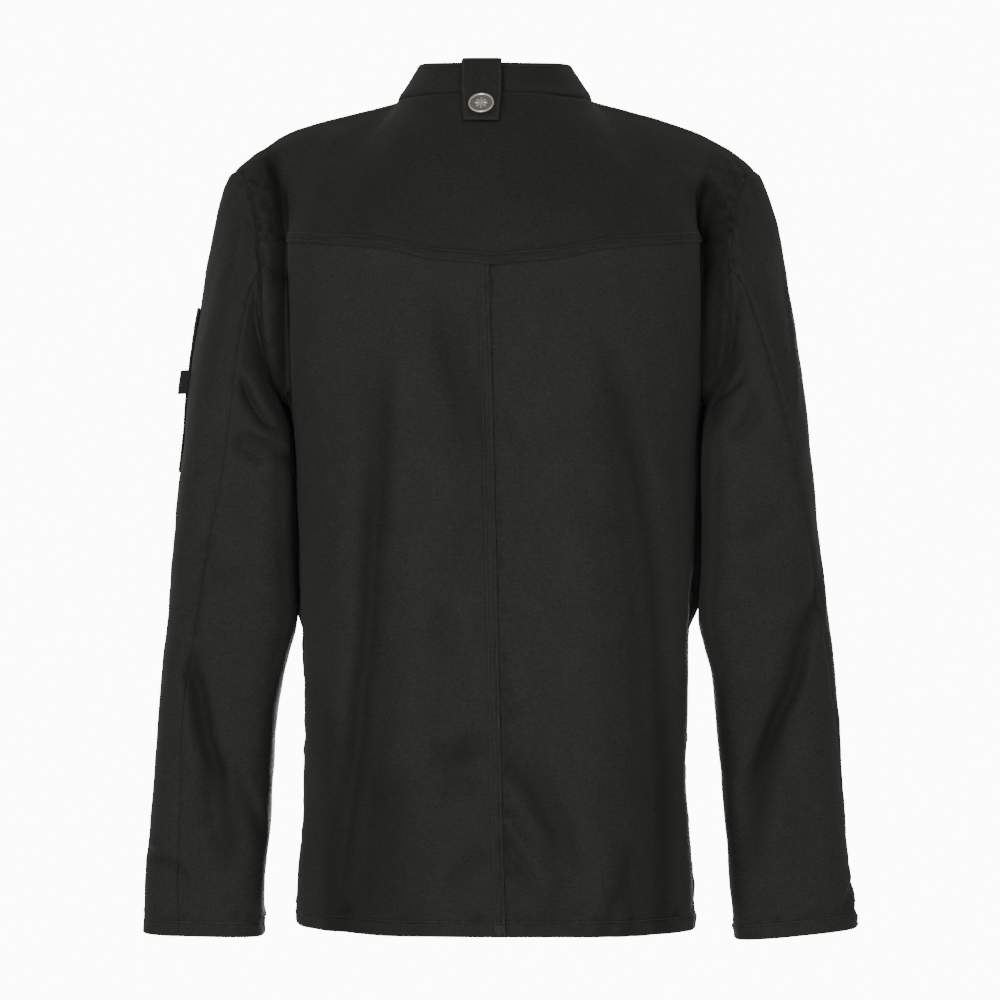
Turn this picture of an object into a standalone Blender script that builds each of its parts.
"""Worn chef jacket, hollow, seen as it hangs on its wearer.

The frame: metres, +Z up, the wearer faces -Y and their left arm is at +X.
The origin is the middle of the neck, level with the collar seam at the back.

Every piece of cloth is a grid of points on a surface function, with a second
grid one cloth thickness further in. The body has one function, torso(), which
takes across (-1 the right edge, 0 the middle, 1 the left edge) and up (0 hem,
1 the yoke or chest line, 2 neck and shoulder). Each sleeve has one, sleeve(),
which takes an angle round the arm and along (0 armhole, 1 cuff).
"""
from collections import namedtuple
from math import radians

import bmesh
import bpy
import numpy as np

# ---------------------------------------------------------------- sizes
CLOTH = 0.0015            # wall of one layer of twill
SEAM_GAP = 0.0003         # between two pieces at a seam
LAYER_GAP = 0.0004        # between a piece and the one it lies on
TAB_GAP = 0.0009          # under the neck tab
POCKET_GAP = 0.0009       # under the sleeve pocket

NECK_HALF = 0.0862        # neck seam, half its width
NECK_BACK = 0.068         # neck seam, how far back it reaches
NECK_FRONT = 0.080        # neck seam, how far forward
NECK_DROP = 0.078         # how much lower the neck seam is in front
SHOULDER_X = 0.228        # end of the shoulder seam
SHOULDER_Z = -0.0625
SHOULDER_BACK = 0.008     # the shoulder end lies this far behind the neck point
SHOULDER_SLOPE = 0.29
SHOULDER_DROP = 0.0203    # how far it drops below its slope at its end
SHOULDER_DROP_X = 0.17    # where that drop begins

ARMHOLE_Y = 0.004         # middle of the armhole, front to back
ARMHOLE_Z = -0.1655       # middle of the armhole, height
ARMHOLE_HALF_DEPTH = 0.064
ARMHOLE_HALF_HEIGHT = 0.103

WIDTH_OF_ACROSS = 0.30    # metres for one unit of across near the middle
ACROSS_NECK = 0.40        # across at the neck point
NECK_SOFT = 0.045         # step in across by which the neck point's corner is rounded
ACROSS_FOLD = 0.80        # across at the wall of the fold beside the armhole
ACROSS_FLOOR = 0.90       # across at the floor of that fold
TURN_AT_FOLD = 0.86       # share of a quarter turn that a low row has made there
ARMPIT_SPREAD = 0.016     # the fold's floor opens out this far at the armpit
UP_ARMPIT = 0.70          # up at the bottom of the armhole
SQUARE = 2.45             # 2 is an ellipse, more is squarer
FOLD_FLOOR_RADIUS = 0.0035

COLLAR_TOP_HALF = 0.0668
COLLAR_TOP_BACK = 0.048
COLLAR_TOP_FRONT = 0.066
COLLAR_TALL = 0.0315      # height at the sides of the neck
COLLAR_LESS = 0.0035      # what it loses at the back, where its top stays level
COLLAR_MORE_FRONT = 0.006 # what it gains in front
COLLAR_FRONT_GAP = 3.0    # degrees from the middle of the front to a collar end
COLLAR_FRONT_LIFT = 0.03  # share of its height by which its foot rises in front

MIDDLE_SEAM_X = 0.0042    # back middle seam, x at the yoke
MIDDLE_SEAM_LEAN = 0.0238 # its lean to the right as it falls

OVERLAP = 0.11            # across by which each front passes the middle
OVERLAP_LIFT = CLOTH + LAYER_GAP + 0.0001
LIFT_FADE = 0.30          # across where the upper front is back in line

VENT_TOP = 0.270          # up at the top of the back vent
VENT_UNDERLAP = 0.115     # across by which the right back passes under
VENT_SINK = CLOTH + LAYER_GAP

TAB_MIDDLE = 0.0113       # across the back, towards the left
TAB_HALF = 0.0170
TAB_HALF_LOW = 0.0147     # half its width at its lower end
TAB_THICK = 0.0020
TAB_DOWN = 1.779          # up at the tab's lower end, on the yoke
TAB_INSIDE = 0.18         # the tab ends here inside the collar (0 foot, 1 top)

TAB_BUTTON_UP = 1.880     # up at the tab's button
BUTTON_RADIUS = 0.0112
BUTTON_THICK = 0.0030
FRONT_BUTTONS = 7
FRONT_BUTTON_RADIUS = 0.0090
FRONT_BUTTON_TOP = 0.030  # first button below the neck seam
FRONT_BUTTON_LOW = 0.095  # last button above the hem
FRONT_BUTTON_ACROSS = 0.012

POCKET_TOP = -0.184
POCKET_LOW = -0.328
POCKET_BACK_ANGLE = 14.0
POCKET_FRONT_ANGLE = -74.0
LABEL_MIDDLE = -0.249
LABEL_TALL = 0.021
LABEL_OUT = 0.0088
LABEL_THICK = 0.0014
LABEL_ANGLE = 17.5

UP_BACK_SEAM = 0.9595     # up where the sleeve's back seam meets the armhole
UP_FRONT_SEAM = 0.90      # up where its front seam meets the armhole
ALONG_ARM = 0.30          # along at the upper arm, where the sleeve cap ends
ARM_RADIUS = 0.060        # mean radius and length of a sleeve, for its creases
ARM_LENGTH = 0.66
CAP_RISE_UNDER = 0.012    # how far the cap sets off outwards, under and over the arm
CAP_RISE_OVER = 0.036
CAP_DROP_OVER = 0.075     # how far it sets off downwards over the arm
CAP_ROUND = 0.012         # how far it sets off forwards and backwards

# ---------------------------------------------------------------- tables
Level = namedtuple("Level", "up z_middle y_middle")
BACK_LEVELS = (
    Level(0.00, -0.7225, 0.124),
    Level(0.08, -0.664, 0.121),
    Level(0.20, -0.582, 0.116),
    Level(0.36, -0.470, 0.114),
    Level(0.50, -0.370, 0.120),
    Level(0.60, -0.295, 0.127),
    Level(0.70, -0.247, 0.130),
    Level(0.85, -0.200, 0.130),
    Level(1.00, -0.153, 0.128),
)
FRONT_LEVELS = (
    Level(0.00, -0.7215, -0.122),
    Level(0.08, -0.664, -0.121),
    Level(0.20, -0.582, -0.120),
    Level(0.36, -0.470, -0.121),
    Level(0.50, -0.375, -0.125),
    Level(0.60, -0.310, -0.128),
    Level(0.70, -0.272, -0.129),
    Level(0.85, -0.240, -0.129),
    Level(1.00, -0.210, -0.127),
)

Side = namedtuple("Side", "up z_left z_right x_left x_right")
SIDE_SEAM = (
    Side(0.00, -0.7180, -0.7262, 0.1730, 0.1765),
    Side(0.08, -0.6640, -0.6650, 0.1698, 0.1725),
    Side(0.20, -0.5820, -0.5820, 0.1668, 0.1675),
    Side(0.36, -0.4700, -0.4700, 0.1690, 0.1695),
    Side(0.50, -0.3700, -0.3700, 0.1722, 0.1755),
    Side(0.60, -0.2960, -0.2960, 0.1748, 0.1770),
    Side(0.64, -0.2760, -0.2760, 0.1762, 0.1772),
    Side(0.67, -0.2700, -0.2700, 0.1770, 0.1774),
    Side(0.70, -0.2685, -0.2685, 0.1775, 0.1776),
)

# Share of the rise from the middle of a row to its end, by across. The yoke
# seam is a soft V, the rows below it are nearly level.
Rise = namedtuple("Rise", "across vee level")
ROW_RISE = (
    Rise(0.00, 0.00, 0.00),
    Rise(0.07, 0.05, 0.02),
    Rise(0.15, 0.21, 0.05),
    Rise(0.25, 0.54, 0.11),
    Rise(0.43, 0.79, 0.26),
    Rise(0.80, 0.97, 0.70),
    Rise(1.00, 1.00, 1.00),
)

Armhole = namedtuple("Armhole", "angle x")      # 0 back, 90 top, 180 front
ARMHOLE = (
    Armhole(-90.0, 0.1840),
    Armhole(-60.0, 0.1915),
    Armhole(-30.0, 0.1990),
    Armhole(15.0, 0.2035),
    Armhole(53.0, 0.2130),
    Armhole(90.0, SHOULDER_X),
    Armhole(127.0, 0.2110),
    Armhole(165.0, 0.1975),
    Armhole(210.0, 0.1935),
    Armhole(240.0, 0.1880),
    Armhole(270.0, 0.1840),
)

# The long fold between the body and the armhole. wall is its x, drop is how
# far its floor lies inside the armhole seam, bend is the point that pulls the
# cloth up again towards the sleeve, keep and gone are heights up the yoke.
Fold = namedtuple("Fold", "wall_low wall_top drop bend_x bend_y keep gone")
ARM_FOLDS = {
    ("back", 1): Fold(0.1778, 0.1785, 0.020, 0.1875, 0.001, 0.45, 0.90),
    ("back", -1): Fold(0.1778, 0.1775, 0.026, 0.1925, -0.010, 0.28, 0.62),
    ("front", 1): Fold(0.1775, 0.1740, 0.010, 0.1840, -0.002, 0.30, 0.75),
    ("front", -1): Fold(0.1775, 0.1735, 0.012, 0.1845, -0.004, 0.25, 0.70),
}
FACE_LAST_ANGLE = {"back": 21.0, "front": 200.0}   # armhole angle where up is 1

# The cloth over the shoulder blades and the chest swells this way, by across.
SWELL_WAY = {"back": np.array([0.0, 0.80, 0.60]), "front": np.array([0.0, -0.78, 0.62])}
Bulge = namedtuple("Bulge", "across out")
YOKE_BULGE = (
    Bulge(0.0, 0.014),
    Bulge(0.4, 0.014),
    Bulge(0.8, 0.015),
    Bulge(1.0, 0.013),
)
CHEST_BULGE = (
    Bulge(0.0, 0.010),
    Bulge(0.4, 0.026),
    Bulge(0.8, 0.030),
    Bulge(1.0, 0.022),
)

# Broad troughs: x at the top, middle and foot, the heights of both ends, half
# width and depth. A negative depth is a ridge.
Trough = namedtuple("Trough", "face x_top x_mid x_low z_top z_low half deep")
TROUGHS = (
    Trough("back", 0.118, 0.102, 0.126, -0.175, -0.730, 0.017, 0.0075),
    Trough("back", 0.072, 0.070, 0.088, -0.330, -0.730, 0.022, -0.0040),
    Trough("back", -0.088, -0.130, -0.140, -0.180, -0.730, 0.017, 0.0085),
    Trough("back", -0.060, -0.085, -0.094, -0.300, -0.730, 0.024, -0.0040),
    Trough("back", 0.050, 0.024, 0.016, -0.160, -0.400, 0.020, 0.0045),
    Trough("back", -0.018, -0.050, -0.062, -0.545, -0.700, 0.016, 0.0040),
    Trough("back", 0.158, 0.156, 0.157, -0.590, -0.735, 0.008, 0.0045),
    Trough("back", -0.161, -0.160, -0.163, -0.560, -0.735, 0.008, 0.0045),
    Trough("front", 0.120, 0.104, 0.118, -0.210, -0.730, 0.019, 0.0075),
    Trough("front", -0.112, -0.122, -0.136, -0.200, -0.730, 0.018, 0.0075),
    Trough("front", 0.085, 0.075, 0.082, -0.360, -0.730, 0.022, -0.0035),
)

# Below the armpits the front swells out beside the arms, so that the sleeves hang
# against the body. It is a bell across the panel that lasts from z_top to z_low.
SideSwell = namedtuple("SideSwell", "face side across half out z_top z_low")
SIDE_SWELLS = (
    SideSwell("front", 1, 0.80, 0.075, 0.0066, -0.255, -0.475),
    SideSwell("front", -1, 0.80, 0.075, 0.0100, -0.255, -0.475),
)

Ring = namedtuple("Ring", "along z inner outer y_middle y_half lean")
SLEEVE_RINGS = {
    1: (
        Ring(0.30, -0.300, 0.1775, 0.2716, 0.004, 0.0740, 0.0),
        Ring(0.40, -0.365, 0.1757, 0.2794, 0.001, 0.0680, 0.0),
        Ring(0.48, -0.410, 0.1743, 0.2834, -0.001, 0.0630, 0.0),
        Ring(0.56, -0.455, 0.1737, 0.2880, -0.004, 0.0585, 0.0),
        Ring(0.64, -0.505, 0.1862, 0.2928, -0.007, 0.0540, 0.0),
        Ring(0.72, -0.555, 0.1928, 0.2975, -0.010, 0.0510, 0.0),
        Ring(0.82, -0.615, 0.1966, 0.3024, -0.013, 0.0485, 0.0),
        Ring(0.92, -0.680, 0.2022, 0.3080, -0.016, 0.0462, 0.0),
        Ring(1.00, -0.7335, 0.2040, 0.3106, -0.018, 0.0450, 0.0012),
    ),
    -1: (
        Ring(0.30, -0.300, 0.1815, 0.2752, 0.004, 0.0740, 0.0),
        Ring(0.40, -0.365, 0.1812, 0.2822, 0.001, 0.0680, 0.0),
        Ring(0.48, -0.410, 0.1806, 0.2874, -0.001, 0.0630, 0.0),
        Ring(0.56, -0.455, 0.1790, 0.2928, -0.004, 0.0585, 0.0),
        Ring(0.64, -0.505, 0.1905, 0.2988, -0.007, 0.0540, 0.001),
        Ring(0.72, -0.555, 0.1958, 0.3030, -0.010, 0.0510, 0.002),
        Ring(0.82, -0.615, 0.2020, 0.3070, -0.013, 0.0485, 0.003),
        Ring(0.92, -0.680, 0.2074, 0.3122, -0.016, 0.0462, 0.004),
        Ring(1.00, -0.7328, 0.2110, 0.3200, -0.018, 0.0450, 0.0058),
    ),
}

SeamAngle = namedtuple("SeamAngle", "along left right")
BACK_SEAM = (
    SeamAngle(0.00, 84.0, 84.0),
    SeamAngle(0.15, 85.0, 73.0),
    SeamAngle(0.30, 83.0, 59.0),
    SeamAngle(0.48, 67.0, 45.0),
    SeamAngle(0.64, 61.0, 37.0),
    SeamAngle(0.82, 64.0, 25.0),
    SeamAngle(1.00, 70.0, 17.0),
)

# Sleeve creases: angle and along at both ends, half width, depth.
Crease = namedtuple("Crease", "side angle_a along_a angle_b along_b half deep")
CREASES = (
    Crease(1, 96.0, 0.19, 128.0, 0.27, 0.0085, 0.0075),
    Crease(1, 92.0, 0.30, 122.0, 0.33, 0.0085, 0.0060),
    Crease(1, 62.0, 0.44, 84.0, 0.52, 0.0120, 0.0040),
    Crease(1, 46.0, 0.64, 108.0, 0.88, 0.0100, 0.0075),
    Crease(1, 84.0, 0.78, 112.0, 0.90, 0.0090, 0.0040),
    Crease(1, -40.0, 0.52, -92.0, 0.70, 0.0110, 0.0060),
    Crease(1, -35.0, 0.41, -80.0, 0.49, 0.0110, 0.0050),
    Crease(-1, 118.0, 0.30, 84.0, 0.22, 0.0110, 0.0045),
    Crease(-1, 44.0, 0.48, 112.0, 0.88, 0.0105, 0.0080),
    Crease(-1, -46.0, 0.52, -96.0, 0.74, 0.0110, 0.0065),
    Crease(-1, -30.0, 0.26, -76.0, 0.38, 0.0110, 0.0050),
)

CLOTH_COLOUR = (0.021, 0.021, 0.020, 1.0)
METAL_COLOUR = (0.33, 0.31, 0.28, 1.0)


# ---------------------------------------------------------------- numbers
def curve(rows, column, at):
    """Smooth curve through one column of a table, read at the values given."""
    key = np.array([row[0] for row in rows])
    value = np.array([getattr(row, column) for row in rows])
    slope = np.gradient(value, key)
    at = np.clip(np.asarray(at, float), key[0], key[-1])
    k = np.clip(np.searchsorted(key, at, side="right") - 1, 0, len(key) - 2)
    step = key[k + 1] - key[k]
    u = (at - key[k]) / step
    return (
        (2 * u**3 - 3 * u**2 + 1) * value[k]
        + (u**3 - 2 * u**2 + u) * step * slope[k]
        + (3 * u**2 - 2 * u**3) * value[k + 1]
        + (u**3 - u**2) * step * slope[k + 1]
    )


def ease(low, high, at):
    """0 below low, 1 above high, smooth between."""
    u = np.clip((np.asarray(at, float) - low) / (high - low), 0.0, 1.0)
    return u * u * (3.0 - 2.0 * u)


def unit(vectors):
    return vectors / np.linalg.norm(vectors, axis=-1, keepdims=True)


def stack(x, y, z):
    return np.stack(np.broadcast_arrays(x, y, z), axis=-1).astype(float)


def quarter(turn, power):
    """Quarter of a superellipse of unit size: 0 is its middle, 1 its end."""
    angle = np.clip(turn, 0.0, 1.0) * np.pi / 2
    u = np.sin(angle)
    w = np.cos(angle)
    reach = (u**power + w**power) ** (-1.0 / power)
    return reach * u, reach * w


# ---------------------------------------------------------------- the body
def armhole(side, angle):
    """Point of the armhole seam at an angle in degrees, and its outward way."""
    turn = np.radians(angle)
    away = stack(np.zeros_like(turn), np.cos(turn), np.sin(turn))
    x = side * curve(ARMHOLE, "x", angle)
    y = ARMHOLE_Y + ARMHOLE_HALF_DEPTH * np.cos(turn)
    z = ARMHOLE_Z + ARMHOLE_HALF_HEIGHT * np.sin(turn)
    return stack(x, y, z), away


def armhole_angle(face, up):
    """Armhole angle of a body panel's edge at a height up, above the armpit."""
    start = -90.0 if face == "back" else 270.0
    last = FACE_LAST_ANGLE[face]
    low = np.clip((up - UP_ARMPIT) / (1.0 - UP_ARMPIT), 0.0, 1.0)
    high = np.clip(up - 1.0, 0.0, 1.0)
    return start + (last - start) * low + (90.0 - last) * high


def shoulder_height(x):
    """Height of the shoulder seam: a straight slope that drops at its end."""
    x = np.abs(x)
    straight = SHOULDER_Z + SHOULDER_SLOPE * (SHOULDER_X - x)
    past = np.clip(x - SHOULDER_DROP_X, 0.0, None) / (SHOULDER_X - SHOULDER_DROP_X)
    return straight + SHOULDER_DROP * (1.0 - past**2)


def top_line(face, across):
    """Neck seam up to the neck point, then the shoulder seam."""
    far = np.abs(across)
    side = np.sign(across)
    turn = np.clip(far / ACROSS_NECK, 0.0, 1.0) * np.pi / 2
    out = np.clip((far - ACROSS_NECK) / (1.0 - ACROSS_NECK), 0.0, 1.0)
    x = NECK_HALF * np.sin(turn) + (SHOULDER_X - NECK_HALF) * out
    start = shoulder_height(NECK_HALF)
    if face == "back":
        y = NECK_BACK * np.cos(turn)
        z = start * np.sin(turn) ** 2
    else:
        y = -NECK_FRONT * np.cos(turn)
        z = start * np.sin(turn) ** 2 - NECK_DROP * np.cos(turn) ** 1.5
    y = y + SHOULDER_BACK * out
    z = np.where(far > ACROSS_NECK, shoulder_height(x), z)
    return stack(side * x, y, z)


def lower_row(face, side, far, up):
    """A level ring of the body from the middle to the side seam."""
    levels = BACK_LEVELS if face == "back" else FRONT_LEVELS
    part = "left" if side > 0 else "right"
    near = far / ACROSS_FOLD * TURN_AT_FOLD
    past = (far - ACROSS_FOLD) / (1.0 - ACROSS_FOLD) * (1.0 - TURN_AT_FOLD)
    turn = np.where(far < ACROSS_FOLD, near, TURN_AT_FOLD + past)
    u, w = quarter(turn, SQUARE)
    x = curve(SIDE_SEAM, f"x_{part}", up) * u
    y = curve(levels, "y_middle", up) * w
    z_middle = curve(levels, "z_middle", up)
    z_side = curve(SIDE_SEAM, f"z_{part}", up)
    z = z_middle + (z_side - z_middle) * curve(ROW_RISE, "level", far)
    return stack(side * x, y, z)


def folded_row(face, side, far, up, folded):
    """A row that ends at the armhole, with the long fold beside it.

    It is a quarter superellipse from the middle to the fold's wall, a quarter
    circle on the fold's floor, and a bent run out to the armhole seam.
    folded is 1 for the deep fold and 0 where the cloth runs straight on.
    """
    fold = ARM_FOLDS[(face, side)]
    levels = BACK_LEVELS if face == "back" else FRONT_LEVELS
    outward = 1.0 if face == "back" else -1.0
    y_middle = outward * curve(levels, "y_middle", up)
    z_middle = curve(levels, "z_middle", up)
    edge, _ = armhole(1, armhole_angle(face, up))
    edge_y = outward * edge[..., 1]
    rise = np.clip((up - UP_ARMPIT) / (1.0 - UP_ARMPIT), 0.0, 1.0)
    wall = fold.wall_low + (fold.wall_top - fold.wall_low) * rise
    spread = ARMPIT_SPREAD * (1.0 - ease(0.0, 0.40, rise))
    floor = edge_y + spread - fold.drop * ease(0.0, 0.7, rise)
    radius = FOLD_FLOOR_RADIUS
    u, w = quarter(far / ACROSS_FOLD, SQUARE)
    body_x = wall * u
    body_y = floor + radius + (y_middle - floor - radius) * w
    turn = np.clip((far - ACROSS_FOLD) / (ACROSS_FLOOR - ACROSS_FOLD), 0.0, 1.0)
    floor_x = wall + radius * (1.0 - np.cos(turn * np.pi / 2))
    floor_y = floor + radius * (1.0 - np.sin(turn * np.pi / 2))
    run = np.clip((far - ACROSS_FLOOR) / (1.0 - ACROSS_FLOOR), 0.0, 1.0)
    bend_x = wall + radius + (fold.bend_x - wall - radius) * ease(0.0, 0.6, rise)
    bend_y = edge_y + fold.bend_y * ease(0.0, 0.5, rise) + 0.3 * spread
    run_x = (1 - run) ** 2 * (wall + radius) + 2 * run * (1 - run) * bend_x + run**2 * edge[..., 0]
    run_y = (1 - run) ** 2 * floor + 2 * run * (1 - run) * bend_y + run**2 * edge_y
    x = np.where(far < ACROSS_FOLD, body_x, np.where(far < ACROSS_FLOOR, floor_x, run_x))
    y = np.where(far < ACROSS_FOLD, body_y, np.where(far < ACROSS_FLOOR, floor_y, run_y))
    past = np.clip((far - ACROSS_FOLD) / (1.0 - ACROSS_FOLD), 0.0, 1.0)
    plain_x = wall * u + (edge[..., 0] - wall) * past
    plain_w = 1.0 - (plain_x / edge[..., 0]) ** 3.0
    plain_y = edge_y + (y_middle - edge_y) * plain_w
    x = plain_x + (x - plain_x) * folded
    y = plain_y + (y - plain_y) * folded
    level = curve(ROW_RISE, "level", far)
    share = level
    if face == "back":
        share = level + (curve(ROW_RISE, "vee", far) - level) * ease(0.2, 1.0, rise)
    z = z_middle + (edge[..., 2] - z_middle) * share
    return stack(side * x, outward * y, z)


def soft_top(face, side, far):
    """The top line with its corner at the neck point rounded off, for the cloth below it."""
    top = top_line(face, side * far)
    steps = np.arange(-3, 4)
    mean = sum((4 - abs(k)) / 16.0 * top_line(face, side * (far + k * NECK_SOFT)) for k in steps)
    near = ease(0.05, 0.25, far) * (1.0 - ease(0.60, 0.85, far))
    return top + (mean - top) * near[..., None]


def bare_torso(face, across, up):
    """The body surface without its troughs."""
    across, up = np.broadcast_arrays(np.asarray(across, float), np.asarray(up, float))
    far = np.abs(across)
    low_up = np.minimum(up, 1.0)
    rise = np.clip(up - 1.0, 0.0, 1.0)
    out = np.zeros(across.shape + (3,))
    for side in (1, -1):
        fold = ARM_FOLDS[(face, side)]
        folded = 1.0 - ease(fold.keep, fold.gone, rise)
        upper = folded_row(face, side, far, low_up, folded)
        lower = lower_row(face, side, far, low_up)
        mix = ease(0.58, UP_ARMPIT, low_up)[..., None]
        row = lower + (upper - lower) * mix
        top = top_line(face, side * far)
        soft = soft_top(face, side, far)
        bulges = YOKE_BULGE if face == "back" else CHEST_BULGE
        swell = curve(bulges, "out", far) * 4.0 * rise * (1.0 - rise)
        way = SWELL_WAY[face]
        patch = row + (soft - row) * rise[..., None] + swell[..., None] * way
        patch = patch + (top - soft) * (rise**6)[..., None]
        edge, _ = armhole(side, armhole_angle(face, up))
        end_top = top_line(face, np.full_like(far, float(side)))
        end_swell = curve(bulges, "out", np.ones_like(far)) * 4.0 * rise * (1.0 - rise)
        end_row = folded_row(face, side, np.ones_like(far), np.ones_like(far), folded)
        end = end_row + (end_top - end_row) * rise[..., None] + end_swell[..., None] * way
        patch = patch + (edge - end) * (far**5 * (rise > 0))[..., None]
        here = (across > 0) if side > 0 else (across <= 0)
        out[here] = patch[here]
    return out


def trough_depth(face, points, across):
    """How far the broad troughs push the cloth in, less the swells beside the arms."""
    x = points[..., 0]
    z = points[..., 2]
    deep = np.zeros_like(x)
    for row in TROUGHS:
        if row.face != face:
            continue
        u = (row.z_top - z) / (row.z_top - row.z_low)
        path = (1 - u) ** 2 * row.x_top + 2 * u * (1 - u) * (
            2 * row.x_mid - 0.5 * (row.x_top + row.x_low)
        ) + u**2 * row.x_low
        ends = ease(0.0, 0.22, u) * (1.0 - ease(1.0, 1.15, u))
        deep = deep + row.deep * ends * np.exp(-((x - path) / row.half) ** 2)
    deep = deep * (1.0 - ease(0.93, 1.0, np.abs(across)))
    for row in SIDE_SWELLS:
        if row.face != face:
            continue
        bell = np.exp(-(((row.side * across - row.across) / row.half) ** 2))
        lasts = ease(row.z_low, row.z_low + 0.05, z) * (1.0 - ease(row.z_top - 0.017, row.z_top, z))
        deep = deep - row.out * bell * lasts
    return deep


def normals_of(surface, a, b, a_range, b_range, step=2e-4):
    """Unit normal of a surface function by differences."""
    a_low = np.clip(a - step, *a_range)
    a_high = np.clip(a + step, *a_range)
    b_low = np.clip(b - step, *b_range)
    b_high = np.clip(b + step, *b_range)
    along_a = surface(a_high, b) - surface(a_low, b)
    along_b = surface(a, b_high) - surface(a, b_low)
    return unit(np.cross(along_a, along_b))


def torso(face, across, up):
    """Point and outward normal of the body surface, with its troughs."""
    across, up = np.broadcast_arrays(np.asarray(across, float), np.asarray(up, float))
    sign = -1.0 if face == "back" else 1.0

    def bare(a, b):
        return bare_torso(face, a, b)

    def creased(a, b):
        points = bare(a, b)
        way = sign * normals_of(bare, a, b, (-1, 1), (0, 2))
        return points - way * trough_depth(face, points, a)[..., None]

    points = creased(across, up)
    return points, sign * normals_of(creased, across, up, (-1, 1), (0, 2))


# ---------------------------------------------------------------- the sleeves
def sleeve_ring(side, angle, along):
    """Point of the sleeve below the upper arm: rings that follow the arm."""
    rows = SLEEVE_RINGS[side]
    turn = np.radians(angle)
    inner = curve(rows, "inner", along)
    outer = curve(rows, "outer", along)
    x = 0.5 * (inner + outer) + 0.5 * (outer - inner) * np.cos(turn)
    y = curve(rows, "y_middle", along) + curve(rows, "y_half", along) * np.sin(turn)
    z = curve(rows, "z", along) + curve(rows, "lean", along) * np.cos(turn)
    return stack(side * x, y, z)


def bare_sleeve(side, angle, along):
    """Sleeve surface: a cap from the armhole to the upper arm, then rings."""
    angle, along = np.broadcast_arrays(np.asarray(angle, float), np.asarray(along, float))
    turn = np.radians(angle)
    lower = sleeve_ring(side, angle, np.maximum(along, ALONG_ARM))
    hole, away = armhole(side, np.mod(90.0 - angle + 90.0, 360.0) - 90.0)
    arm = sleeve_ring(side, angle, np.full_like(angle, ALONG_ARM))
    after = sleeve_ring(side, angle, np.full_like(angle, ALONG_ARM + 0.01))
    over = 0.5 * (1.0 + np.cos(turn))          # 1 on top of the arm, 0 below it
    start = stack(
        side * (CAP_RISE_UNDER + CAP_RISE_OVER * over),
        CAP_ROUND * np.sin(turn),
        -CAP_DROP_OVER * over,
    )
    finish = (after - arm) / 0.01 * ALONG_ARM * (0.35 + 0.65 * over)[..., None]
    u = np.clip(along / ALONG_ARM, 0.0, 1.0)[..., None]
    cap = (
        (2 * u**3 - 3 * u**2 + 1) * hole
        + (u**3 - 2 * u**2 + u) * start
        + (3 * u**2 - 2 * u**3) * arm
        + (u**3 - u**2) * finish
    )
    return np.where((along < ALONG_ARM)[..., None], cap, lower)


def crease_depth(side, angle, along):
    """How far the creases push the sleeve in, by distance in metres."""
    deep = np.zeros(np.broadcast(angle, along).shape)
    around = ARM_RADIUS * np.radians(1.0)
    down = ARM_LENGTH
    for row in CREASES:
        if row.side != side:
            continue
        run_a = (row.angle_b - row.angle_a) * around
        run_b = (row.along_b - row.along_a) * down
        length = np.hypot(run_a, run_b)
        from_a = (angle - row.angle_a + 180.0) % 360.0 - 180.0
        da = from_a * around
        db = (along - row.along_a) * down
        u = (da * run_a + db * run_b) / length**2
        off = (db * run_a - da * run_b) / length
        ends = ease(-0.15, 0.25, u) * (1.0 - ease(0.75, 1.15, u))
        deep = deep + row.deep * ends * np.exp(-((off / row.half) ** 2))
    return deep


def sleeve(side, angle, along):
    """Point and outward normal of a sleeve, with its creases."""
    angle, along = np.broadcast_arrays(np.asarray(angle, float), np.asarray(along, float))

    def bare(a, b):
        return bare_sleeve(side, a * 90.0, b)

    def creased(a, b):
        way = side * normals_of(bare, a, b, (-9, 9), (0, 1))
        return bare(a, b) + way * crease_depth(side, a * 90.0, b)[..., None]

    points = creased(angle / 90.0, along)
    way = -side * normals_of(creased, angle / 90.0, along, (-9, 9), (0, 1))
    return points, way


def back_seam_angle(side, along):
    return curve(BACK_SEAM, "left" if side > 0 else "right", along)


# ---------------------------------------------------------------- the collar
def collar(turn, height):
    """Point and outward normal of the collar: turn in degrees, 0 at the back."""
    turn, height = np.broadcast_arrays(np.asarray(turn, float), np.asarray(height, float))

    def bare(a, b):
        face_angle = a * 90.0
        folded = 90.0 - np.abs(90.0 - np.abs(face_angle))
        across = np.sign(face_angle) * folded / 90.0 * ACROSS_NECK
        foot = np.where(
            (np.abs(face_angle) <= 90.0)[..., None],
            top_line("back", across),
            top_line("front", across),
        )
        rad = np.radians(face_angle)
        reach = np.where(np.abs(face_angle) <= 90.0, COLLAR_TOP_BACK, COLLAR_TOP_FRONT)
        front = ease(90.0, 180.0, np.abs(face_angle))
        tall = COLLAR_TALL - COLLAR_LESS * np.cos(rad) ** 2 + COLLAR_MORE_FRONT * front
        top = stack(
            COLLAR_TOP_HALF * np.sin(rad),
            reach * np.cos(rad),
            foot[..., 2] + tall,
        )
        return foot + (top - foot) * b[..., None]

    a = turn / 90.0
    points = bare(a, height)
    return points, -normals_of(bare, a, height, (-2, 2), (0, 1), 1e-3)


# ---------------------------------------------------------------- seam rims
def side_rim(side, up):
    """Direction of the wall's edge down the side seam."""
    tilt = 0.5 * np.pi * 0.9 * ease(0.60, UP_ARMPIT, up)
    return stack(side * np.cos(tilt), np.zeros_like(tilt), -np.sin(tilt))


def panel_edge_rim(face, side, up):
    """Direction of the wall's edge: side seam below the armpit, then armhole."""
    _, away = armhole(side, armhole_angle(face, up))
    return np.where((up < UP_ARMPIT - 1e-6)[:, None], side_rim(side, up), away)


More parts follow.
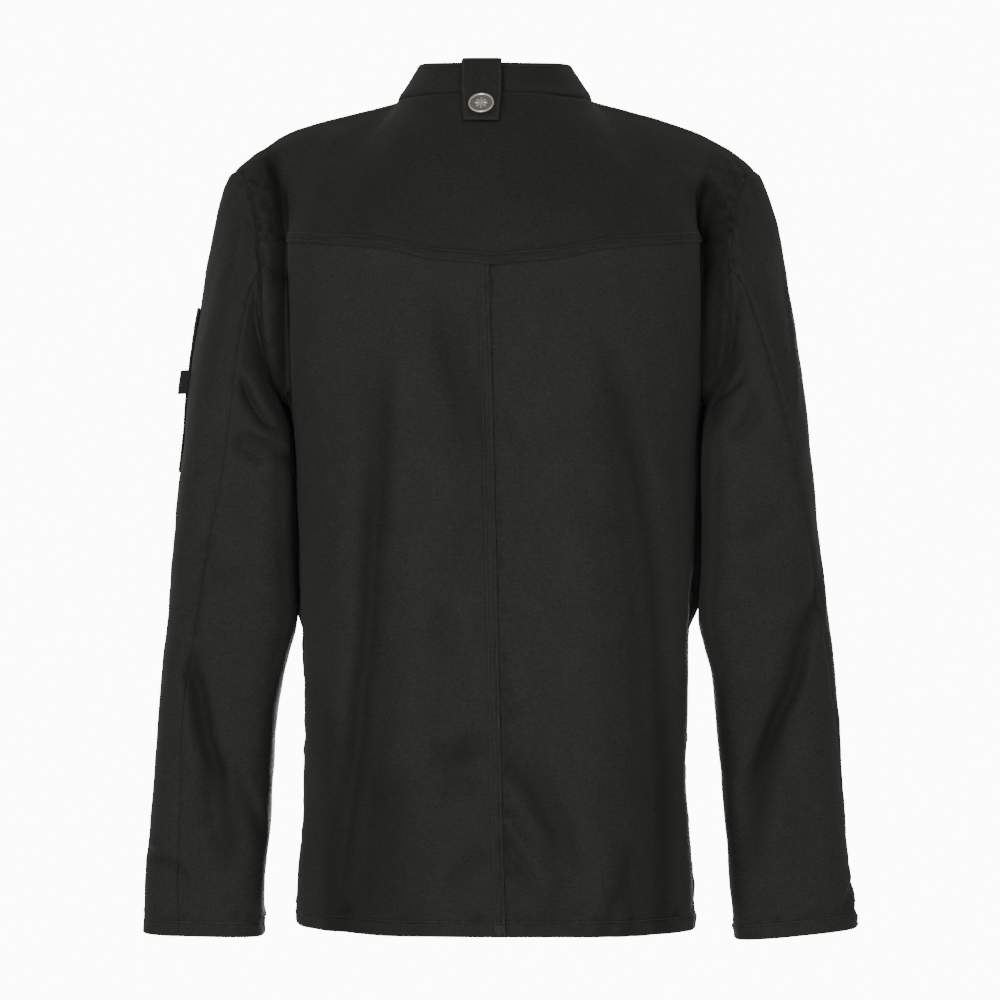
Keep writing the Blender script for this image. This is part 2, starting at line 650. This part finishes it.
def neck_rim(turn):
    """Direction of the walls' edges along the neck seam, by collar angle."""
    turn = np.asarray(turn, float)
    across = np.sign(turn) * (90.0 - np.abs(90.0 - np.abs(turn))) / 90.0 * ACROSS_NECK
    _, band = collar(turn, np.zeros_like(turn))
    _, back = torso("back", across, np.full_like(turn, 2.0))
    _, front = torso("front", across, np.full_like(turn, 2.0))
    share = ease(88.0, 92.0, np.abs(turn))[..., None]
    return unit(band + back + (front - back) * share)


def top_rim(face, across):
    """Direction of the wall's edge along the neck and then the shoulder."""
    x = top_line(face, across)[..., 0]
    step = 1e-4
    slope = (shoulder_height(np.abs(x) + step) - shoulder_height(np.abs(x) - step)) / (2 * step)
    shoulder = unit(stack(-slope * np.sign(x), np.zeros_like(x), np.ones_like(x)))
    turn = np.clip(np.abs(across) / ACROSS_NECK, 0.0, 1.0) * 90.0
    turn = turn if face == "back" else 180.0 - turn
    on_neck = (np.abs(across) < ACROSS_NECK + 1e-6)[..., None]
    return np.where(on_neck, neck_rim(np.where(across < 0, -turn, turn)), shoulder)


# ---------------------------------------------------------------- meshes
def material(name, colour, roughness, metallic):
    made = bpy.data.materials.new(name)
    made.use_nodes = True
    shader = made.node_tree.nodes["Principled BSDF"]
    shader.inputs["Base Color"].default_value = colour
    shader.inputs["Roughness"].default_value = roughness
    shader.inputs["Metallic"].default_value = metallic
    made.diffuse_color = colour
    return made


def add_object(name, points, faces, look, sharp=35.0):
    """A closed mesh with its faces pointing out."""
    mesh = bpy.data.meshes.new(name)
    mesh.from_pydata(points.tolist(), [], faces)
    work = bmesh.new()
    work.from_mesh(mesh)
    if work.calc_volume(signed=True) < 0.0:
        bmesh.ops.reverse_faces(work, faces=work.faces)
    work.to_mesh(mesh)
    work.free()
    mesh.shade_smooth()
    mesh.set_sharp_from_angle(angle=radians(sharp))
    mesh.materials.append(look)
    made = bpy.data.objects.new(name, mesh)
    bpy.context.scene.collection.objects.link(made)
    return made


def drawn_in(grid, amount):
    """The grid with each border moved in by the amount, towards its neighbour."""
    out = grid.copy()
    for axis in (0, 1):
        for border, inner in ((0, 1), (-1, -2)):
            edge = np.take(grid, border, axis=axis)
            step = unit(np.take(grid, inner, axis=axis) - edge) * amount
            if axis == 0:
                out[border] += step
            else:
                out[:, border] += step
    return out


def wall_faces(rows, columns, keep):
    """Faces of a wall between two grids; keep says which cells it has."""
    count = rows * columns
    faces = []
    edges = {}
    for i in range(rows - 1):
        for j in range(columns - 1):
            if not keep[i, j]:
                continue
            a = i * columns + j
            loop = (a, a + 1, a + columns + 1, a + columns)
            faces.append(loop)
            faces.append(tuple(count + k for k in reversed(loop)))
            for k in range(4):
                edge = (loop[k], loop[(k + 1) % 4])
                if edge[::-1] in edges:
                    del edges[edge[::-1]]
                else:
                    edges[edge] = True
    for a, b in edges:
        faces.append((b, a, count + a, count + b))
    return faces


def wall(name, outer, inner, look, keep=None):
    """A closed wall from two grids of the same size."""
    rows, columns = outer.shape[:2]
    if keep is None:
        keep = np.ones((rows - 1, columns - 1), bool)
    points = np.concatenate([outer.reshape(-1, 3), inner.reshape(-1, 3)])
    faces = wall_faces(rows, columns, keep)
    used = sorted({k for face in faces for k in face})
    place = {k: n for n, k in enumerate(used)}
    faces = [tuple(place[k] for k in face) for face in faces]
    return add_object(name, points[used], faces, look)


def cloth_piece(name, points, ways, look, thick=CLOTH, keep=None, inset=SEAM_GAP / 2):
    """A wall of cloth: its outer face on the points, its inner face one cloth in."""
    outer = drawn_in(points, inset)
    return wall(name, outer, outer - ways * thick, look, keep)


# ---------------------------------------------------------------- the pieces
def half_columns():
    """Values of across from the middle to the edge, close together at the fold."""
    neck = np.linspace(0.0, ACROSS_NECK, 10)[:-1]
    main = np.linspace(ACROSS_NECK, ACROSS_FOLD, 7)[:-1]
    fold = np.array([ACROSS_FOLD, 0.827, 0.857, ACROSS_FLOOR, 0.933, 0.967, 1.0])
    return np.concatenate([neck, main, fold])


LOWER_UPS = np.array([
    0.0, 0.05, 0.12, 0.20, VENT_TOP, 0.36, 0.44, 0.51, 0.57, 0.62, 0.66, UP_ARMPIT,
    0.74, 0.79, 0.845, UP_FRONT_SEAM, UP_BACK_SEAM, 1.0,
])
UPPER_UPS = np.array([1.12, 1.27, 1.43, 1.59, 1.75, 1.89, 2.0])


def middle_seam(up):
    """Across at the middle seam, which leans to the wearer's right as it falls."""
    fall = BACK_LEVELS[-1].z_middle - curve(BACK_LEVELS, "z_middle", up)
    return (MIDDLE_SEAM_X - fall * MIDDLE_SEAM_LEAN) / WIDTH_OF_ACROSS


def beside_middle(u, middle):
    """Columns u drawn to the middle seam; further out they stay where they are."""
    return u + middle * (1.0 - ease(0.0, 0.35, np.abs(u)))


def back_panels(look):
    """Two backs that meet at the middle seam and lap at the vent."""
    ups = LOWER_UPS
    middle = middle_seam(ups)[:, None]
    u = half_columns()[None, :]
    points, ways = torso("back", beside_middle(u, middle), ups[:, None])
    ways[:, -1] = panel_edge_rim("back", 1, ups)
    cloth_piece("back_panel_left", points, ways, look)

    under = VENT_UNDERLAP * np.array([1.0, 0.66, 0.33, 0.06])[None, :]
    across = np.concatenate([middle + under, beside_middle(-u, middle)], axis=1)
    points, ways = torso("back", across, ups[:, None])
    open_vent = ups < VENT_TOP - 1e-6
    sink = ease(-0.10, -0.01, across - middle) * open_vent[:, None]
    points = points - ways * (VENT_SINK * sink)[..., None]
    ways[:, -1] = panel_edge_rim("back", -1, ups)
    last_open = np.flatnonzero(open_vent)[-1]
    keep = np.ones((len(ups) - 1, across.shape[1] - 1), bool)
    keep[last_open:, :under.shape[1]] = False
    outer = drawn_in(points, SEAM_GAP / 2)
    seam = under.shape[1]
    outer[:, 0] = points[:, 0]
    step = unit(points[last_open + 1:, seam + 1] - points[last_open + 1:, seam])
    outer[last_open + 1:, seam] += step * SEAM_GAP / 2
    wall("back_panel_right", outer, outer - ways * CLOTH, look, keep)


def yoke(look):
    """One yoke from armhole to armhole, from the back seam to neck and shoulder."""
    ups = np.concatenate([[1.0], UPPER_UPS])
    half = half_columns()
    u = np.concatenate([-half[::-1], half[1:]])[None, :]
    middle = middle_seam(1.0) * (2.0 - ups)[:, None]
    points, ways = torso("back", beside_middle(u, middle), ups[:, None])
    ways[:, 0] = panel_edge_rim("back", -1, ups)
    ways[:, -1] = panel_edge_rim("back", 1, ups)
    ways[-1, 1:-1] = top_rim("back", u[0])[1:-1]
    cloth_piece("back_yoke", points, ways, look)


def front_lift(across):
    """How far the upper front stands out over the lower one."""
    return OVERLAP_LIFT * (1.0 - ease(0.5 * LIFT_FADE, LIFT_FADE, across))


def fronts(look):
    """Two fronts, the left one over the right one, with a plain wide overlap."""
    ups = np.concatenate([LOWER_UPS, UPPER_UPS])
    for side, name in ((1, "front_left"), (-1, "front_right")):
        lap = -OVERLAP * np.array([1.0, 0.5])
        across = side * np.concatenate([lap, half_columns()])
        points, ways = torso("front", across[None, :], ups[:, None])
        ways[:, -1] = panel_edge_rim("front", side, ups)
        ways[-1, :-1] = top_rim("front", across)[:-1]
        if side > 0:
            points = points + ways * front_lift(across)[None, :, None]
        cloth_piece(name, points, ways, look)


def hole_angles():
    """Sleeve angles at the ends of the body's rows, for the two sleeve pieces.

    They run from the back seam: over the shoulder to the front seam for the
    outer piece, and under the arm to the front seam for the under piece.
    """
    above = LOWER_UPS[LOWER_UPS >= UP_ARMPIT - 1e-6]
    back = 90.0 - armhole_angle("back", above)
    yoke_edge = 90.0 - armhole_angle("back", UPPER_UPS)
    chest_edge = 90.0 - armhole_angle("front", UPPER_UPS)
    front = 90.0 - armhole_angle("front", above)
    behind = above >= UP_BACK_SEAM - 1e-6
    before = above >= UP_FRONT_SEAM - 1e-6
    outer = np.concatenate([back[behind], yoke_edge, chest_edge[-2::-1], front[before][::-1]])
    under = np.concatenate([back[above <= UP_BACK_SEAM + 1e-6][::-1],
                            360.0 + front[above <= UP_FRONT_SEAM + 1e-6][1:]])
    return outer, under


def sleeves(look):
    """Each sleeve: an outer and an under piece, seamed behind and in front."""
    alongs = np.array([
        0.0, 0.03, 0.075, 0.13, 0.19, 0.245, ALONG_ARM, 0.36, 0.42, 0.48, 0.54,
        0.60, 0.66, 0.72, 0.79, 0.86, 0.93, 1.0,
    ])
    outer, under = hole_angles()
    for side, name in ((1, "sleeve_left"), (-1, "sleeve_right")):
        start = back_seam_angle(side, alongs)[:, None]
        for piece, angles in (("outer", outer), ("under", under)):
            u = (angles - angles[0]) / (angles[-1] - angles[0])
            angle = start + (angles[-1] - start) * u
            points, ways = sleeve(side, angle, alongs[:, None])
            turn = np.radians(90.0 - angle[0])
            ways[0] = stack(np.zeros_like(turn), np.cos(turn), np.sin(turn))
            cloth_piece(f"{name}_{piece}", points, ways, look)


def collar_band(look):
    """The band collar, open in front."""
    across = half_columns()
    quarter_turn = across[across < ACROSS_NECK + 1e-6] / ACROSS_NECK * 90.0
    half = np.concatenate([quarter_turn, 180.0 - quarter_turn[1:-1][::-1]])
    half = np.append(half, 180.0 - COLLAR_FRONT_GAP)
    turns = np.concatenate([-half[::-1], half[1:]])
    foot = COLLAR_FRONT_LIFT * ease(110.0, 165.0, np.abs(turns))
    heights = np.array([foot, np.full_like(turns, 0.5), np.ones_like(turns)])
    points, ways = collar(turns[None, :], heights)
    ways[0] = neck_rim(turns)
    across = (180.0 - turns) / 90.0 * ACROSS_NECK
    lift = front_lift(across) * (turns > 90.0)
    points = points + ways * lift[None, :, None]
    cloth_piece("collar_stand", points, ways, look, inset=SEAM_GAP)


def turns_across(x, height):
    """Collar turn at a distance x from the middle, for a height on the collar."""
    return np.degrees(np.arcsin(x / (NECK_HALF + (COLLAR_TOP_HALF - NECK_HALF) * height)))


def tab_line():
    """Middle surface of the tab: inside the collar, over its top, down the yoke."""
    share = np.linspace(-1.0, 1.0, 7)
    over = TAB_GAP + TAB_THICK / 2
    rows = []
    normals = []
    for height in (TAB_INSIDE, 0.45, 0.72, 1.0):
        turns = turns_across(TAB_MIDDLE + TAB_HALF * share, height)
        point, way = collar(turns, np.full_like(turns, height))
        rows.append(point - way * (CLOTH + over))
        normals.append(-way)
    top, way = collar(turns, np.ones_like(turns))
    low, _ = collar(turns, np.full_like(turns, 0.9))
    rise = unit(top - low)
    for angle in (140.0, 110.0, 75.0, 40.0):
        turn = radians(angle)
        around = np.cos(turn) * way + np.sin(turn) * rise
        rows.append(top - way * CLOTH / 2 + around * (CLOTH / 2 + over))
        normals.append(around)
    for height in (0.97, 0.75, 0.5, 0.25, 0.06):
        turns = turns_across(TAB_MIDDLE + TAB_HALF * share, height)
        point, way = collar(turns, np.full_like(turns, height))
        rows.append(point + way * over)
        normals.append(way)
    for up in (1.985, 1.95, 1.91, 1.87, 1.83, TAB_DOWN):
        fallen = (2.0 - up) / (2.0 - TAB_DOWN)
        half = TAB_HALF + (TAB_HALF_LOW - TAB_HALF) * fallen
        across = turns_across(TAB_MIDDLE + half * share, 0.0) / 90.0 * ACROSS_NECK
        point, way = torso("back", across, np.full_like(across, up))
        rows.append(point + way * over)
        normals.append(way)
    return np.array(rows), np.array(normals)


def tab(look):
    """The loop of cloth that folds over the collar at the back of the neck."""
    middle, ways = tab_line()
    half = ways * TAB_THICK / 2
    wall("neck_tab", middle + half, middle - half, look)


def turned(name, profile, centre, axis, look, sides=28):
    """A solid of revolution: profile rows are (radius, height) up the axis."""
    axis = unit(axis)
    side = unit(np.cross(axis, np.array([0.0, 0.0, 1.0])))
    other = np.cross(axis, side)
    angles = np.arange(sides) * 2.0 * np.pi / sides
    round_ = np.cos(angles)[:, None] * side + np.sin(angles)[:, None] * other
    points = [centre + axis * profile[0][1]]
    for radius, height in profile[1:-1]:
        points.extend(centre + round_ * radius + axis * height)
    points.append(centre + axis * profile[-1][1])
    faces = []
    rings = len(profile) - 2
    for k in range(sides):
        n = (k + 1) % sides
        faces.append((0, 1 + n, 1 + k))
        for ring in range(rings - 1):
            a = 1 + ring * sides
            faces.append((a + k, a + n, a + sides + n, a + sides + k))
        a = 1 + (rings - 1) * sides
        faces.append((a + k, a + n, len(points) - 1))
    return add_object(name, np.array(points), faces, look, 30.0)


def button(name, centre, axis, radius, look, sides=28):
    """A metal press-stud cap: a domed disc with a raised rim."""
    thick = BUTTON_THICK * radius / BUTTON_RADIUS
    profile = (
        (0.0, 0.0),
        (radius * 0.90, 0.0),
        (radius, thick * 0.45),
        (radius * 0.94, thick),
        (radius * 0.84, thick * 0.80),
        (0.0, thick * 0.95),
    )
    turned(name, profile, centre, axis, look, sides)


def buttons(look):
    """The tab's button and the row down the front."""
    turns = np.degrees(np.arcsin(np.array([TAB_MIDDLE / NECK_HALF])))
    across = turns / 90.0 * ACROSS_NECK
    point, way = torso("back", across, np.full_like(across, TAB_BUTTON_UP))
    seat = TAB_GAP + TAB_THICK + LAYER_GAP
    button("neck_tab_button", point[0] + way[0] * seat, way[0], BUTTON_RADIUS, look)
    levels = np.linspace(0.0, 2.0, 401)
    line, _ = torso("front", np.zeros_like(levels), levels)
    top = line[-1, 2] - FRONT_BUTTON_TOP
    heights = np.linspace(top, line[0, 2] + FRONT_BUTTON_LOW, FRONT_BUTTONS)
    ups = np.interp(heights, line[:, 2], levels)
    points, ways = torso("front", np.full_like(ups, FRONT_BUTTON_ACROSS), ups)
    for k in range(FRONT_BUTTONS):
        centre = points[k] + ways[k] * (OVERLAP_LIFT + LAYER_GAP + SEAM_GAP)
        button(f"front_button_{k + 1}", centre, ways[k], FRONT_BUTTON_RADIUS, look, 14)


def sleeve_at(side, angle, height, out=0.0):
    """Sleeve point and normal at an angle and a height, moved out."""
    alongs = np.linspace(0.02, 0.60, 160)
    along = np.empty_like(angle)
    for index in np.ndindex(angle.shape):
        line = bare_sleeve(side, np.full_like(alongs, angle[index]), alongs)[:, 2]
        along[index] = np.interp(-height[index], -line, alongs)
    points, ways = sleeve(side, angle, along)
    return points + ways * out, ways


def sleeve_pocket(look):
    """A patch pocket on the left sleeve, flat on its cloth."""
    heights = np.linspace(POCKET_LOW, POCKET_TOP, 9)
    angles = np.linspace(POCKET_BACK_ANGLE, POCKET_FRONT_ANGLE, 10)
    angle, height = np.meshgrid(angles, heights)
    points, ways = sleeve_at(1, angle, height, POCKET_GAP + CLOTH)
    cloth_piece("sleeve_pocket", points, ways, look, inset=0.0)


def sleeve_label(look):
    """A small folded label that stands out beside the pocket."""
    heights = LABEL_MIDDLE + LABEL_TALL * np.linspace(-0.5, 0.5, 3)
    angle = np.full_like(heights, LABEL_ANGLE)
    foot, way = sleeve_at(1, angle, heights, SEAM_GAP)
    outward = unit(way + np.array([0.9, 0.15, -0.25]))
    outs = np.array([0.0, 0.35, 0.75, 1.0]) * LABEL_OUT
    middle = foot[:, None, :] + outward[:, None, :] * outs[None, :, None]
    upward = np.array([0.0, 0.0, 1.0])
    across = unit(np.cross(outward, upward))[:, None, :]
    half = across * LABEL_THICK / 2
    lifted = unit(way)[:, None, :] * LABEL_THICK * 0.35
    wall("sleeve_label", middle + half + lifted, middle - half + lifted, look)


def main():
    for old in list(bpy.data.objects):
        bpy.data.objects.remove(old, do_unlink=True)
    cloth = material("black_twill", CLOTH_COLOUR, 0.85, 0.0)
    ribbon = material("black_ribbon", CLOTH_COLOUR, 0.7, 0.0)
    metal = material("antique_metal", METAL_COLOUR, 0.38, 1.0)
    back_panels(cloth)
    yoke(cloth)
    fronts(cloth)
    sleeves(cloth)
    collar_band(cloth)
    tab(cloth)
    sleeve_pocket(cloth)
    sleeve_label(ribbon)
    buttons(metal)


main()
